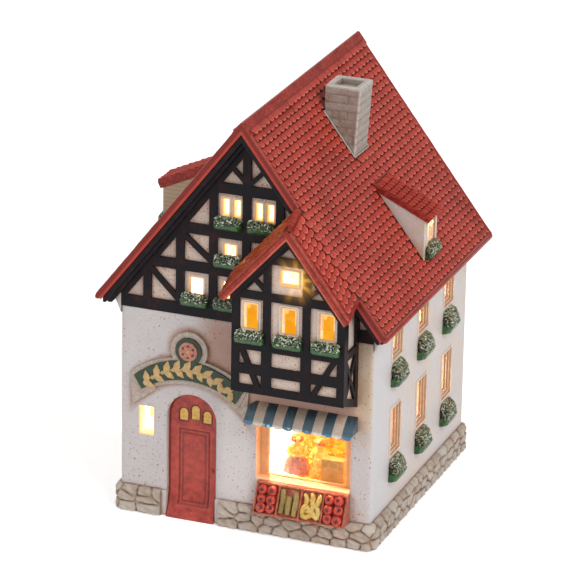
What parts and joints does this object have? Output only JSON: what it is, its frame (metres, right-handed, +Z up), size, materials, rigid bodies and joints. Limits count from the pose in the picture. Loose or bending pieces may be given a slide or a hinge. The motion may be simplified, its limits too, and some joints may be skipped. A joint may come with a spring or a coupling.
{
  "type": "ceramic village house",
  "caption": "Lit ceramic village house: a half-timbered corner shop with a steep tiled roof, an overhanging bay, an awning, flower boxes and a lamp that pulls out of its rear wall.",
  "frame": {"origin": "on the table, under the middle of the whole outline", "axes": "+Z up, -Y out of the shop front with the door and the bay, +X to the right as seen from the front"},
  "size_m": [0.1352, 0.1572, 0.1929],
  "materials": {
    "stucco": "glazed, cream-white with brown specks",
    "timber": "glazed, near-black brown",
    "roof": "glazed, tile red",
    "stone": "glazed, grey-beige with brown joints",
    "chimney": "glazed, grey-beige",
    "door": "glazed, red",
    "lights": "glazed, amber",
    "sign_grey": "glazed, grey",
    "sign_green": "glazed, dark green",
    "sign_tan": "glazed, tan",
    "sign_pink": "glazed, pink",
    "awning": "glazed, blue and off-white stripes",
    "tray": "glazed, terracotta",
    "apple": "glazed, apple red",
    "olive": "glazed, olive green",
    "yellow": "glazed, yellow",
    "planting": "glazed, leaf green with pale blooms",
    "window_tan": "glazed, tan",
    "figure_pink": "glazed, rose",
    "figure_yellow": "glazed, yellow-white",
    "counter": "glazed, brown",
    "holder": "moulded, off-white",
    "spring": "bare spring steel",
    "contact": "bare",
    "bulb_cap": "bare",
    "bulb_glass": "clear, lit from inside",
    "pane": "amber sheet, lit from behind",
    "filament": "bare wire"
  },
  "bodies": {
    "house": {"plinth_front": "stone", "plinth_rear": "stone", "plinth_sides": "stone", "front_wall": "stucco", "right_wall": "stucco", "left_wall": "stucco", "rear_wall": "stucco", "eave_coves": "stucco", "front_gable": "stucco", "front_timbers": "timber", "rear_timbers": "timber", "front_barge_board": "timber", "rear_barge_board": "timber", "roof_right": "roof", "roof_left": "roof", "ridge_cap": "roof", "chimney": "chimney", "dormer_walls": "stucco", "dormer_roofs": "roof", "dormer_flower_boxes": "planting", "gable_flower_boxes": "planting", "side_window_frames": "window_tan", "side_flower_boxes": "planting", "bay_front": "stucco", "bay_panes": "pane", "bay_timbers": "timber", "bay_sides": "stucco", "bay_side_timbers": "timber", "bay_base": "timber", "bay_flower_boxes": "planting", "bay_roof_right": "roof", "bay_roof_left": "roof", "bay_barge_board": "timber", "door_leaf": "door", "door_lights": "lights", "door_knob": "door", "shop_window_frame": "window_tan", "awning": "awning", "produce_tray": "tray", "apples": "apple", "cucumbers": "olive", "bananas": "yellow", "sign_board": "sign_grey", "sign_panel": "sign_green", "sign_roundel": "sign_pink", "sign_garland": "sign_tan", "shop_floor": "stucco", "counter": "counter", "customer_figure": "figure_pink", "shopkeeper_figure": "figure_yellow"},
    "lamp": {"lamp_collar": "holder", "spring_clips": "spring", "lamp_rear_cap": "holder", "lamp_socket": "holder", "screw_shell": "contact", "centre_contact": "contact"},
    "bulb": {"bulb_contact": "contact", "bulb_screw_cap": "bulb_cap", "bulb_glass": "bulb_glass", "bulb_stem": "filament"}
  },
  "joints": [
    {"name": "lamp_withdraw", "type": "slide", "parent": "house", "child": "lamp", "axis": [0, 1, 0], "range_m": [0, 0.1]},
    {"name": "bulb_unscrew", "type": "hinge", "parent": "lamp", "child": "bulb", "pos_m": [0, 0.05, 0.0975], "axis": [0, -1, 0], "range_deg": [0, 1440]}
  ]
}
